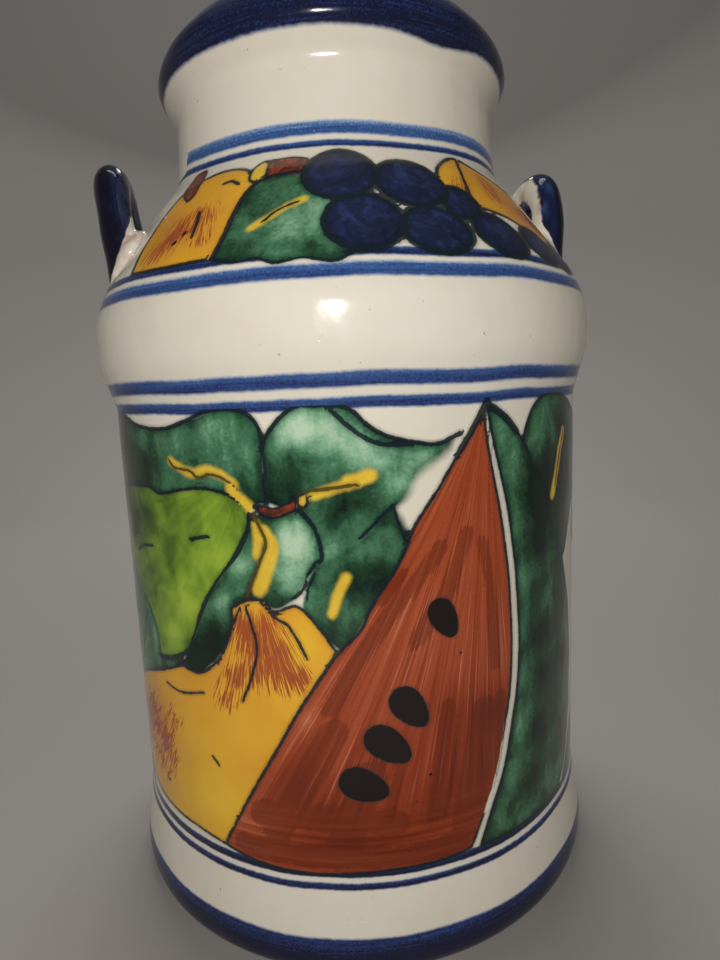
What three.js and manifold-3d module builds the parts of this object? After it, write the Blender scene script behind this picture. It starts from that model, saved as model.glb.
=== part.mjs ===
// A glazed earthenware vase in the shape of a milk can: a thrown body with a standing collar,
// a sloping shoulder, a short neck and a rolled lip, and two small coil handles on the shoulder.
// Millimetres, +Z up. The origin is the middle of the foot, and the handles stand on the X axis.
import * as THREE from "three";
import { mergeVertices } from "three/addons/utils/BufferGeometryUtils.js";
import Module from "manifold-3d";

// ---- driving dimensions ----
const HEIGHT = 300;
const WALL = 6; // thickness of the thrown wall
const FLOOR = 9.5; // height of the inside bottom
const FOOT = { radius: 91.5, faceOuter: 85, faceInner: 67, recess: 2.5, top: 32 };
const BODY = { radius: 88, top: 176 };
const COLLAR = { radius: 92.4, low: 190, high: 205, top: 217.5 };
const SHOULDER = { lowRadius: 87, highRadius: 67.2, top: 244 };
const NECK = { radius: 58.7, bottom: 252, top: 277 };
const RIM = { radius: 64, middle: 286.5, lipRadius: 56 };

const HANDLE = {
  legOffset: 16.4, // from the middle of the handle to the middle of a leg
  splay: 2.6, // how much further apart the legs stand at their feet
  footHeight: 212, // where the coil starts, inside the wall
  archHeight: 255.5, // middle of the coil at the top
  radialPlace: 78.6, // distance of the coil from the axis where it leaves the shoulder
  leaveHeight: 222.5,
  lean: 0.112, // outward lean, in mm for each mm of rise
  halfThick: 5.9, // across the coil, away from the vase
  halfWide: 7.3, // across the coil, along the vase
};
const PAD = { along: 10, across: 12, proud: 4, height: 228.5 }; // clay smeared out around each leg
const JOINT_GAP = 0.4; // room between a handle and the shoulder

const AROUND = 56; // segments of the vase
const COIL_SIDES = 12;
const COIL_STEPS = 20;

// ---- shapes ----
const wasm = await Module();
wasm.setup();

/** A smooth curve through [radius, height] pairs, as points a profile can use. */
function smooth(pairs, stepsEach = 2) {
  const curve = new THREE.SplineCurve(pairs.map(([r, z]) => new THREE.Vector2(r, z)));
  return curve.getPoints((pairs.length - 1) * stepsEach);
}

/** The outside of the wall from the foot face up to the top of the lip. */
function outsideProfile() {
  const foot = smooth([
    [FOOT.faceOuter, 0],
    [FOOT.radius - 1.6, 2.2],
    [FOOT.radius, 7.5],
    [FOOT.radius - 0.6, 15],
    [BODY.radius + 1.2, 25],
    [BODY.radius, FOOT.top],
  ]);
  const collar = smooth([
    [BODY.radius, BODY.top],
    [BODY.radius + 2, (BODY.top + COLLAR.low) / 2],
    [COLLAR.radius - 0.3, COLLAR.low],
    [COLLAR.radius, (COLLAR.low + COLLAR.high) / 2],
    [COLLAR.radius - 0.3, COLLAR.high],
    [COLLAR.radius - 2.4, COLLAR.high + 6.5],
    [SHOULDER.lowRadius, COLLAR.top],
  ]);
  const neck = smooth([
    [SHOULDER.highRadius, SHOULDER.top],
    [NECK.radius + 2.2, NECK.bottom],
    [NECK.radius + 0.4, NECK.bottom + 10],
    [NECK.radius, NECK.bottom + 18],
    [NECK.radius, NECK.top],
    [RIM.radius - 2.8, RIM.middle - 5],
    [RIM.radius, RIM.middle],
    [RIM.radius - 1.3, RIM.middle + 5.5],
    [RIM.radius - 4.4, RIM.middle + 9.8],
    [RIM.lipRadius, HEIGHT],
  ]);
  return [...foot, ...collar, ...neck];
}

/** The inside of the wall from the lip down to the edge of the inside floor. */
function insideProfile() {
  const mouth = smooth([
    [RIM.lipRadius, HEIGHT],
    [RIM.lipRadius - 3.6, HEIGHT - 1.8],
    [NECK.radius - WALL - 1, HEIGHT - 7],
    [NECK.radius - WALL, NECK.top - 7],
    [NECK.radius + 2.2 - WALL, NECK.bottom + 1],
    [SHOULDER.highRadius - WALL * 0.8, SHOULDER.top - WALL * 0.6],
  ]);
  const shoulder = smooth([
    [SHOULDER.lowRadius - WALL * 0.9, COLLAR.top - WALL * 0.5],
    [BODY.radius - WALL, COLLAR.high],
  ]);
  const floorEdge = smooth([
    [BODY.radius - WALL, FLOOR + 14],
    [BODY.radius - WALL - 3, FLOOR + 4],
    [BODY.radius - WALL - 12, FLOOR],
  ]);
  return [...mouth.slice(1), ...shoulder, ...floorEdge];
}

/** Turns a profile about the Z axis. */
function lathe(profile) {
  return new THREE.LatheGeometry(profile, AROUND).rotateX(Math.PI / 2);
}

function vesselGeometry() {
  const underside = [
    new THREE.Vector2(0, FOOT.recess),
    new THREE.Vector2(FOOT.faceInner - 2, FOOT.recess),
    new THREE.Vector2(FOOT.faceInner, 0),
  ];
  const profile = [...underside, ...outsideProfile(), ...insideProfile(), new THREE.Vector2(0, FLOOR)];
  return lathe(profile);
}

/** A solid a little larger than the outside of the vase, which trims the feet of a handle. */
function trimmerGeometry() {
  const grown = outsideProfile().map((p) => new THREE.Vector2(p.x + JOINT_GAP, p.y));
  return lathe([new THREE.Vector2(0, 0), ...grown, new THREE.Vector2(0, HEIGHT)]);
}

/** Distance of the coil's middle from the axis at a height. */
function coilPlace(z) {
  return HANDLE.radialPlace + HANDLE.lean * (z - HANDLE.leaveHeight);
}

/** An upright loop of clay: two legs that splay at their feet, joined by a round arch. */
function coilGeometry() {
  const legs = HANDLE.legOffset;
  const rise = HANDLE.archHeight - HANDLE.footHeight;
  const half = [
    [legs + HANDLE.splay, 0],
    [legs + HANDLE.splay * 0.45, rise * 0.3],
    [legs, rise * 0.55],
    [legs * 0.83, rise * 0.8],
    [legs * 0.48, rise * 0.95],
  ];
  const other = half.map(([y, up]) => [-y, up]).reverse();
  const points = [...half, [0, rise], ...other].map(([y, up]) => {
    const z = HANDLE.footHeight + up;
    return new THREE.Vector3(coilPlace(z), y, z);
  });
  const section = new THREE.Shape();
  section.absellipse(0, 0, HANDLE.halfWide, HANDLE.halfThick, 0, 2 * Math.PI);
  return new THREE.ExtrudeGeometry(section, {
    steps: COIL_STEPS,
    curveSegments: COIL_SIDES,
    extrudePath: new THREE.CatmullRomCurve3(points),
  });
}

/** The clay smeared onto the shoulder around one leg, side = 1 or -1 along Y. */
function padGeometry(side) {
  const slope = Math.atan2(SHOULDER.top - COLLAR.top, SHOULDER.lowRadius - SHOULDER.highRadius);
  const share = (PAD.height - COLLAR.top) / (SHOULDER.top - COLLAR.top);
  const radius = SHOULDER.lowRadius + share * (SHOULDER.highRadius - SHOULDER.lowRadius);
  const turn = side * Math.asin((HANDLE.legOffset + HANDLE.splay / 2) / radius);
  return new THREE.SphereGeometry(1, 16, 10)
    .scale(PAD.proud, PAD.across, PAD.along)
    .rotateY(slope - Math.PI / 2)
    .translate(radius, 0, PAD.height)
    .rotateZ(turn);
}

// ---- solids ----
function toSolid(geometry) {
  const bare = geometry.clone();
  bare.deleteAttribute("normal");
  bare.deleteAttribute("uv");
  const merged = mergeVertices(bare, 1e-4);
  return new wasm.Manifold(
    new wasm.Mesh({
      numProp: 3,
      vertProperties: new Float32Array(merged.attributes.position.array),
      triVerts: new Uint32Array(merged.index.array),
    }),
  );
}

function toGeometry(solid) {
  const { vertProperties, triVerts } = solid.getMesh();
  const geometry = new THREE.BufferGeometry();
  geometry.setAttribute("position", new THREE.BufferAttribute(vertProperties, 3));
  geometry.setIndex(new THREE.BufferAttribute(triVerts, 1));
  geometry.computeVertexNormals();
  return geometry;
}

function handleGeometry() {
  const clay = toSolid(coilGeometry()).add(toSolid(padGeometry(1))).add(toSolid(padGeometry(-1)));
  return toGeometry(clay.subtract(toSolid(trimmerGeometry())));
}

// ---- the vase ----
const whiteGlaze = new THREE.MeshStandardMaterial({ color: 0xd8d2c2, roughness: 0.16, metalness: 0 });
const navyGlaze = new THREE.MeshStandardMaterial({ color: 0x171f49, roughness: 0.16, metalness: 0 });

const vase = new THREE.Group();

const vessel = new THREE.Mesh(vesselGeometry(), whiteGlaze);
vessel.name = "vessel";
vase.add(vessel);

const sides = [
  ["handle_right", 0],
  ["handle_left", Math.PI],
];
for (const [name, turn] of sides) {
  const handle = new THREE.Mesh(handleGeometry(), navyGlaze.clone());
  handle.name = name;
  handle.rotation.z = turn;
  vase.add(handle);
}

export default vase;
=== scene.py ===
"""A talavera pottery vase: tin-glazed earthenware in the shape of a milk can, painted by hand.

The clay is two turned shells, below and above the crease under the collar, and two coil handles.
The decoration is drawn on the unrolled wall in degrees around (0 faces -Y, +90 faces +X) and
millimetres up. Each vertex stores how far it lies from the edge of each kind of paint, and the
glaze material turns those distances into washes, brush lines and bands.
"""

import math
from functools import partial, reduce

import bmesh
import bpy
import numpy as np
from mathutils import Matrix, Vector


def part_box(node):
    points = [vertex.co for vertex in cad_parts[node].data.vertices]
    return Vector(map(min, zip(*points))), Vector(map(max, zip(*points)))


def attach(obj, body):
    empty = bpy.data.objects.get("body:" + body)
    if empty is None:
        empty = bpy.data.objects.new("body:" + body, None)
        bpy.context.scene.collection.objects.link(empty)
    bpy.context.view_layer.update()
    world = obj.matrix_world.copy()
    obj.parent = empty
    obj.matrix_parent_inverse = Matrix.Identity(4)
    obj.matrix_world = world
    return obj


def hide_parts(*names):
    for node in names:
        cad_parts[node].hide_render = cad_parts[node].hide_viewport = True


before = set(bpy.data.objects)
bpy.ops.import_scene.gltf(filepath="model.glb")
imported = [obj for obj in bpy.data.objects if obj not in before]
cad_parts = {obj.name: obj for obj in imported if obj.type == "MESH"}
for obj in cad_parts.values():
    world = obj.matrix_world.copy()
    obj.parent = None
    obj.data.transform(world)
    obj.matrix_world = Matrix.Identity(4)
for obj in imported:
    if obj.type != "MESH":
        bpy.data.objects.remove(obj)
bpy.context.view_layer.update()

MM = 0.001
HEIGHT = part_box("vessel")[1].z / MM

# ---- sizes of the clay, in millimetres ----
WALL = 6.0
FLOOR = 9.5
FOOT_RADIUS, FOOT_FACE, FOOT_INNER, FOOT_RECESS, FOOT_TOP = 91.5, 85.0, 67.0, 2.5, 32.0
BODY_RADIUS, BODY_TOP = 88.0, 176.0
COLLAR_RADIUS, COLLAR_LOW, COLLAR_HIGH, COLLAR_TOP = 92.4, 190.0, 205.0, 217.5
SHOULDER_LOW, SHOULDER_HIGH, SHOULDER_TOP = 87.0, 67.2, 244.0
NECK_RADIUS, NECK_BOTTOM, NECK_TOP = 58.7, 252.0, 277.0
RIM_RADIUS, RIM_HEIGHT, LIP_RADIUS = 64.0, 286.5, 56.0
INSIDE_RADIUS = BODY_RADIUS - WALL
FLOOR_EDGE = INSIDE_RADIUS - 12  # where the inside floor starts to curve up
COLUMNS = 560  # vertices around the wall
FINE, MEDIUM, COARSE = 1.15, 1.8, 6.0  # spacing of the rings of vertices


# ---- curves ----
def spline(points, closed=False, pieces=12):
    """A smooth curve through points."""
    points = np.array(points, float)
    count = len(points)
    t = np.linspace(0, 1, pieces, endpoint=False)[:, None]
    out = []
    for i in range(count if closed else count - 1):
        around = [i - 1, i, i + 1, i + 2]
        a, b, c, d = (points[k % count if closed else min(max(k, 0), count - 1)] for k in around)
        bend = 2 * a - 5 * b + 4 * c - d
        twist = 3 * (b - c) + d - a
        out.append(b + 0.5 * t * ((c - a) + t * (bend + t * twist)))
    out.append(points[:1] if closed else points[-1:])
    return np.concatenate(out)


def lengths(line):
    """How far along a line each of its points lies."""
    return np.concatenate([[0], np.cumsum(np.hypot(*np.diff(line, axis=0).T))])


def spaced(line, spacing):
    """The same line with its points evenly spaced."""
    along = lengths(line)
    count = max(2, int(round(along[-1] / spacing)) + 1)
    places = np.linspace(0, along[-1], count)
    return np.stack([np.interp(places, along, line[:, k]) for k in (0, 1)], axis=1)


def drawn(points, closed, spacing=1.2):
    """A line drawn by hand through points. A point given twice is a corner."""
    corners = [i for i in range(1, len(points)) if np.allclose(points[i], points[i - 1])]
    if closed and not corners:
        return spaced(spline(points, closed=True), spacing)
    path = list(points) + ([points[0]] if closed else [])
    runs = []
    start = 0
    for corner in corners + [len(path)]:
        runs.append(spaced(spline(path[start:corner]), spacing))
        start = corner
    return np.concatenate(runs)


# ---- the turned clay, as curves of (radius, height) ----
FOOT_CURVE = spline([
    (FOOT_FACE, 0), (FOOT_RADIUS - 1.6, 2.2), (FOOT_RADIUS, 7.5), (FOOT_RADIUS - 0.6, 15),
    (BODY_RADIUS + 1.2, 25), (BODY_RADIUS, FOOT_TOP),
])
COLLAR_CURVE = spline([
    (BODY_RADIUS, BODY_TOP), (BODY_RADIUS + 2, (BODY_TOP + COLLAR_LOW) / 2),
    (COLLAR_RADIUS - 0.3, COLLAR_LOW), (COLLAR_RADIUS, (COLLAR_LOW + COLLAR_HIGH) / 2),
    (COLLAR_RADIUS - 0.3, COLLAR_HIGH), (COLLAR_RADIUS - 2.4, COLLAR_HIGH + 6.5),
    (SHOULDER_LOW, COLLAR_TOP),
])
NECK_CURVE = spline([
    (SHOULDER_HIGH, SHOULDER_TOP), (NECK_RADIUS + 2.2, NECK_BOTTOM),
    (NECK_RADIUS + 0.4, NECK_BOTTOM + 10), (NECK_RADIUS, NECK_BOTTOM + 18),
    (NECK_RADIUS, NECK_TOP), (RIM_RADIUS - 2.8, RIM_HEIGHT - 5), (RIM_RADIUS, RIM_HEIGHT),
    (RIM_RADIUS - 1.3, RIM_HEIGHT + 5.5), (RIM_RADIUS - 4.4, RIM_HEIGHT + 9.8),
    (LIP_RADIUS, HEIGHT),
])
MOUTH_CURVE = spline([  # the inside, from the lip down to the shoulder
    (LIP_RADIUS, HEIGHT), (LIP_RADIUS - 3.6, HEIGHT - 1.8), (NECK_RADIUS - WALL - 1, HEIGHT - 7),
    (NECK_RADIUS - WALL, NECK_TOP - 7), (NECK_RADIUS + 2.2 - WALL, NECK_BOTTOM + 1),
    (SHOULDER_HIGH - WALL * 0.8, SHOULDER_TOP - WALL * 0.6),
    (SHOULDER_LOW - WALL * 0.9, COLLAR_TOP - WALL * 0.5), (INSIDE_RADIUS, COLLAR_HIGH),
])
FLOOR_CURVE = spline([  # the inside, from the wall down round the edge of the floor
    (INSIDE_RADIUS, FLOOR + 14), (INSIDE_RADIUS - 3, FLOOR + 4), (FLOOR_EDGE, FLOOR),
])


def joined(*stretches):
    """One profile from stretches that meet end to end: each a spacing and a line."""
    rings = [spaced(np.array(line, float), spacing) for spacing, line in stretches]
    return np.concatenate([rings[0]] + [line[1:] for line in rings[1:]])


def body_profile():
    """From the middle of the underside, up the outside to the crease, and back down inside."""
    return joined(
        (COARSE, [(0, FOOT_RECESS), (FOOT_INNER - 2, FOOT_RECESS)]),
        (COARSE, [(FOOT_INNER - 2, FOOT_RECESS), (FOOT_INNER, 0)]),
        (COARSE, [(FOOT_INNER, 0), (FOOT_FACE, 0)]),
        (MEDIUM, FOOT_CURVE),
        (FINE, [(BODY_RADIUS, FOOT_TOP), (BODY_RADIUS, BODY_TOP)]),
        (COARSE, [(BODY_RADIUS, BODY_TOP), (INSIDE_RADIUS, BODY_TOP)]),
        (COARSE * 2, [(INSIDE_RADIUS, BODY_TOP), (INSIDE_RADIUS, FLOOR + 14)]),
        (COARSE / 2, FLOOR_CURVE),
        (COARSE * 2, [(FLOOR_EDGE, FLOOR), (0, FLOOR)]),
    )


def top_profile():
    """From the crease up the outside to the lip, down the inside and back out to the crease."""
    return joined(
        (MEDIUM * 0.8, COLLAR_CURVE),
        (FINE, [(SHOULDER_LOW, COLLAR_TOP), (SHOULDER_HIGH, SHOULDER_TOP)]),
        (MEDIUM * 0.75, NECK_CURVE),
        (COARSE / 2, MOUTH_CURVE),
        (COARSE, [(INSIDE_RADIUS, COLLAR_HIGH), (INSIDE_RADIUS, BODY_TOP)]),
        (COARSE, [(INSIDE_RADIUS, BODY_TOP), (BODY_RADIUS, BODY_TOP)]),
    )


def hand_thrown(angle, height):
    """How far the wall strays from a true circle: slightly oval, with faint throwing ridges."""
    oval = 0.22 * np.cos(2 * angle + 0.7) + 0.12 * np.cos(3 * angle + 2.1)
    ridges = 0.05 * np.sin(height / 3.1 + 0.8 * np.sin(angle))
    return oval + ridges


def added(name, mesh):
    """A new object in the scene."""
    piece = bpy.data.objects.new(name, mesh)
    bpy.context.scene.collection.objects.link(piece)
    return piece


def turned(name, profile, closed):
    """A solid turned from a profile that starts and ends on the axis or, if it is closed, comes
    back to its start. Returns the object, and its vertices' angles, heights and radii."""
    rings = profile[:-1] if closed else profile[1:-1]
    angle = np.tile(np.linspace(-math.pi, math.pi, COLUMNS, endpoint=False), len(rings))
    radius, height = np.repeat(rings, COLUMNS, axis=0).T
    radius = radius + hand_thrown(angle, height) * np.clip(radius / BODY_RADIUS, 0, 1)
    points = np.stack([radius * np.sin(angle), -radius * np.cos(angle), height], axis=1)
    first = np.arange(COLUMNS)
    after = (first + 1) % COLUMNS
    faces = []
    for ring in range(len(rings) if closed else len(rings) - 1):
        low = ring * COLUMNS
        high = (ring + 1) % len(rings) * COLUMNS
        faces += np.stack([low + first, low + after, high + after, high + first], 1).tolist()
    if not closed:
        bottom = np.full(COLUMNS, len(points))
        top_ring = (len(rings) - 1) * COLUMNS
        points = np.concatenate([points, [(0, 0, profile[0, 1]), (0, 0, profile[-1, 1])]])
        faces += np.stack([after, first, bottom], 1).tolist()
        faces += np.stack([top_ring + first, top_ring + after, bottom + 1], 1).tolist()
        angle = np.concatenate([angle, [0, 0]])
    mesh = bpy.data.meshes.new(name)
    mesh.from_pydata((points * MM).tolist(), [], faces)
    mesh.shade_smooth()
    mesh.set_sharp_from_angle(angle=math.radians(35))
    x, y, height = points.T
    return added(name, mesh), np.degrees(angle), height, np.hypot(x, y)


# ---- drawing on the unrolled wall ----
FAR = 9.0  # distances are followed this far
KINDS = ("leaf", "lime", "squash", "flesh", "coat", "grape", "stem", "vein", "seed", "bare")
ON_TOP = ("vein", "seed", "coat")  # these are painted over other colours
DISTANCES = (*KINDS, "line_side", "line_near")
UNDERLAP = 0.9  # how far older paint runs on under newer
REPEAT = 180.0  # the decoration comes twice around the vase
BACK_FROM, BACK_OVER = 98, 25  # degrees around where the back starts, and over which it sets in
FAN_WIDTH = 60  # brush strokes that fan out from an apex: mm across for each radian
AIM_MARGIN = 1.5  # how far outside their shape they still run to the apex


class Canvas:
    """Part of the wall laid flat, and the fields that say what is painted at its vertices."""

    def __init__(self, angle, height, radius, profile):
        self.radius = radius
        self.profile_heights = profile[:, 1]
        self.profile_lengths = lengths(profile)
        self.x = np.radians(angle) * radius
        self.y = self.length_at(height)
        self.loosen_the_back(angle)
        count = len(angle)
        self.fields = {name: np.full(count, FAR) for name in DISTANCES}
        self.fields["line_width"] = np.full(count, 0.5)
        self.fields["fan"] = self.x.copy()
        self.fields["reach"] = self.y.copy()
        for name in ("line_tint", "wash_and_shade", "scribble", "blur", "sag"):
            self.fields[name] = np.zeros(count)

    def loosen_the_back(self, angle):
        """The same motifs on the far side, drawn a little differently."""
        share = np.clip((np.abs(angle) - BACK_FROM) / BACK_OVER, 0, 1)
        self.x = self.x + share * 2.5 * np.sin(self.y / 16)
        self.y = self.y + share * 2.0 * np.sin(self.x / 14)

    def length_at(self, height):
        return np.interp(height, self.profile_heights, self.profile_lengths)

    def flat(self, *points):
        """(degrees around, mm up) as (mm across, mm along the wall)."""
        return [(math.radians(a) * self.radius, float(self.length_at(h))) for a, h in points]

    def shifts(self):
        step = math.radians(REPEAT) * self.radius
        return (-step, 0, step)

    def measure(self, line, closed):
        """Each vertex's distance to the nearest copy of a line. It is negative inside a closed
        line and to the right of an open one."""
        signed = np.full(len(self.x), FAR)
        low = line.min(0) - FAR
        high = line.max(0) + FAR
        for shift in self.shifts():
            close = np.flatnonzero((self.x > low[0] + shift) & (self.x < high[0] + shift)
                                   & (self.y > low[1]) & (self.y < high[1]))
            if not len(close):
                continue
            here = distance(line, self.x[close] - shift, self.y[close], closed)
            nearer = here < signed[close] if closed else np.abs(here) < np.abs(signed[close])
            signed[close[nearer]] = here[nearer]
        return signed

    def ink(self, signed, line, tint=0.0):
        """Lays an inked line, line mm to each side, where it is nearer than the older ones."""
        near = np.abs(signed)
        nearer = near - line < self.fields["line_near"] - self.fields["line_width"]
        new = {"line_side": signed, "line_near": near, "line_width": line, "line_tint": tint}
        for name, values in new.items():
            np.copyto(self.fields[name], values, where=nearer)

    def cover(self, kind, signed):
        """Lays one kind of paint over all that is there."""
        for other in KINDS:
            if other != kind and kind not in ON_TOP:
                self.fields[other] = np.maximum(self.fields[other], -UNDERLAP - signed)
        self.fields[kind] = np.minimum(self.fields[kind], signed)
        self.fields["line_near"] += np.maximum(0, -signed) * 2

    def fill(self, kind, edge, line, apex=None):
        """Paints what is inside a closed line, and inks the line if line is not 0."""
        signed = self.measure(edge, closed=True)
        self.cover(kind, signed)
        if line:
            self.ink(signed, line)
        if apex:
            self.aim(signed < AIM_MARGIN, apex)

    def aim(self, inside, apex):
        """Brush strokes inside run to and from the apex."""
        (x, y), = self.flat(apex)
        for shift in self.shifts():
            across = self.x - shift - x
            along = self.y - y
            mine = inside & (np.abs(across) < math.radians(REPEAT / 3) * self.radius)
            np.copyto(self.fields["reach"], np.hypot(across, along), where=mine)
            np.copyto(self.fields["fan"], np.arctan2(across, -along) * FAN_WIDTH, where=mine)

    def shape(self, kind, *points, line=0, apex=None):
        """A painted shape. line inks its outline."""
        self.fill(kind, drawn(self.flat(*points), closed=True), line, apex)

    def beside(self, points):
        """Each vertex's distance to an open line drawn through points."""
        return self.measure(drawn(self.flat(*points), closed=False), closed=False)

    def stroke(self, *points, line, tint=0.0):
        """A thin brush line, in ink or, with tint 1, in olive brown."""
        self.ink(self.beside(points), line, tint)

    def brushed(self, kind, *points, half):
        """A broad stroke of colour, half mm to each side."""
        self.cover(kind, np.abs(self.beside(points)) - half)

    def oval(self, kind, angle, height, across, along, tilt=0.0, line=0, point=0.0):
        """A grape, a dot or, with a point, a seed. tilt is in degrees, anticlockwise."""
        self.fill(kind, self.oval_edge(angle, height, across, along, tilt, point), line)

    def oval_edge(self, angle, height, across, along, tilt=0.0, point=0.0):
        (x, y), = self.flat((angle, height))
        t = np.linspace(0, 2 * math.pi, 40)
        u = across * np.cos(t)
        v = along * np.sin(t) * (1 - point * np.cos(t))
        turn = math.radians(tilt)
        return np.stack([x + u * math.cos(turn) - v * math.sin(turn),
                         y + u * math.sin(turn) + v * math.cos(turn)], axis=1)

    def ring(self, angle, height, across, along, line):
        """An inked ring."""
        self.ink(self.measure(self.oval_edge(angle, height, across, along), closed=True), line)

    def tone(self, field, *spots):
        """Adds soft spots of (degrees around, mm up, size, strength) to a field."""
        for angle, height, size, strength in spots:
            (x, y), = self.flat((angle, height))
            for shift in self.shifts():
                away = ((self.x - shift - x) ** 2 + (self.y - y) ** 2) / size ** 2
                self.fields[field] += strength * np.exp(-away)


def distance(line, x, y, closed):
    """Distance from points to a line, negative inside it or to its right."""
    best = np.full(len(x), 1e9)
    left = np.ones(len(x), bool)
    inside = np.zeros(len(x), bool)
    ends = np.roll(line, -1, axis=0) if closed else line[1:]
    for (ax, ay), (bx, by) in zip(line, ends):
        dx, dy = bx - ax, by - ay
        length = dx * dx + dy * dy
        if length < 1e-9:
            continue
        share = np.clip(((x - ax) * dx + (y - ay) * dy) / length, 0, 1)
        ex = x - ax - share * dx
        ey = y - ay - share * dy
        away = ex * ex + ey * ey
        nearer = away < best
        best[nearer] = away[nearer]
        left[nearer] = (dx * ey - dy * ex)[nearer] >= 0
        if closed and ay != by:
            inside ^= ((ay > y) != (by > y)) & (x < dx * (y - ay) / dy + ax)
    side = ~inside if closed else left
    return np.sqrt(best) * np.where(side, 1, -1)


# ---- the fruit and leaves on the body ----
def body_leaves_behind(c):
    """The leaves that the fruit is painted over."""
    c.shape("leaf", (27, 160), (28.5, 168), (31.5, 173.5), (36, 176.4), (42, 175.5), (50, 172),
            (58, 166), (62, 157), (60, 146), (52, 134), (44, 120), (36, 136), (31, 150), line=0.5)
    c.brushed("vein", (44.6, 163), (42.4, 157.5), (41, 151), (38.5, 143), half=1.5)
    c.stroke((44.6, 163), (42, 155), (40, 146), line=0.35, tint=1)
    c.shape("leaf", (55, 124), (58, 140), (64, 152), (74, 160), (85, 160), (94, 152), (96, 140),
            (92, 128), (82, 120), (68, 118), line=0.5)
    c.brushed("vein", (88, 150), (80, 146), (72, 138), half=1.5)
    c.stroke((88, 150), (80, 146.5), (70, 136), line=0.35, tint=1)
    far_edge = ((-49.4, 170.5), (-59, 171.2), (-66, 174), (-73, 176), (-81, 173.5), (-86, 165),
                (-84, 155))
    c.shape("leaf", (-25.5, 149.5), (-25.5, 149.5), (-26, 157.5), (-25.8, 164), (-26, 169.5),
            (-28.5, 174.2), (-33.3, 176.1), (-40.5, 173.6), *far_edge, (-76, 148), (-61, 147),
            (-44, 148), (-33, 148))
    c.stroke(*far_edge[::-1], (-42.5, 172.8), (-37.9, 175.2), (-33.3, 176.1), (-29.2, 175),
             (-27, 172.5), (-25.9, 168.5), (-25.6, 163), (-25.5, 158), (-25.9, 155.5),
             (-25.5, 149.5), line=0.6)
    c.brushed("vein", (-47.5, 160.9), (-42.3, 157.6), (-37.8, 158.6), (-34.5, 157.1), (-32, 154.4),
              half=1.4)
    c.stroke((-47.9, 160.9), (-46.3, 158.9), (-42.3, 158.2), (-40.2, 156.2), (-37.3, 157.4),
             (-34, 156), (-31.9, 153.6), (-30, 150.6), (-28.6, 147.9), line=0.4, tint=1)
    c.shape("leaf", (-50, 94), (-50, 104), (-58, 114), (-72, 120), (-84, 116), (-91, 102),
            (-88, 88), (-78, 80), (-66, 80), (-54, 88), line=0.5)
    c.stroke((-64, 108), (-68, 98), (-72, 86), line=0.45)
    c.shape("leaf", (46, 35.5), (46, 35.5), (51, 47), (57, 58), (65, 62), (76, 54), (88, 46),
            (104, 43), (106, 36), (106, 36), (80, 35.2), (60, 35), line=0.5)
    c.stroke((54, 38), (62, 48), (68, 56), line=0.45)


def body_pear(c):
    """The pear beside the slice, on the side that faces a handle."""
    c.shape("squash", (74, 131), (80, 127), (84, 114), (90, 99), (93, 82), (91, 65), (83, 53),
            (73, 51), (64, 57), (60, 71), (61, 87), (66, 101), (69, 116), (70, 126), line=0.75,
            apex=(76, 140))
    c.brushed("stem", (76, 129), (77, 136), (81, 142), half=1.3)
    c.stroke((75, 130), (76, 137), (80, 143), line=0.5)
    c.stroke((78, 130), (79, 135), (82, 141), line=0.5)
    c.stroke((72, 60), (76, 56.5), (80, 60), line=0.6)
    for angle, height in ((70, 84), (76, 92), (82, 78)):
        c.oval("seed", angle, height, 0.9, 0.7)


def body_lime(c):
    side = ((-29.2, 145.8), (-30, 140), (-33.1, 133), (-36.2, 127.3), (-39.8, 120.6),
            (-42.6, 113.6), (-44.9, 105.7))
    top = ((-81, 138), (-76, 148), (-68.4, 150.9), (-57.3, 152), (-52.3, 150.4), (-45.6, 152.1),
           (-40.1, 153.1), (-35.3, 152.3), (-32.1, 150.4))
    c.shape("lime", (-29.3, 147.6), *side, (-48.4, 98.8), (-53.4, 95.4), (-57.7, 94.2),
            (-57.7, 94.2), (-59, 105), (-63.5, 113), (-71, 118), (-79, 126), *top,
            apex=(-29, 158))
    c.stroke(*top, (-29.6, 147.8), line=0.5)
    c.stroke(*side, (-47.9, 99.8), (-53.4, 96), (-58.5, 94.4), line=0.85)
    c.stroke((-30, 140), (-33.1, 132.4), (-36.8, 125.6), line=1.25)
    c.stroke((-43.5, 137.4), (-41.8, 138), (-39, 138.8), line=0.55)
    c.oval("seed", -43.3, 137.3, 0.9, 0.7)
    c.stroke((-66, 129.2), (-62, 131.6), (-57.5, 132.6), line=0.45)
    c.stroke((-69.5, 133.6), (-65, 135.4), line=0.4)


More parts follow.
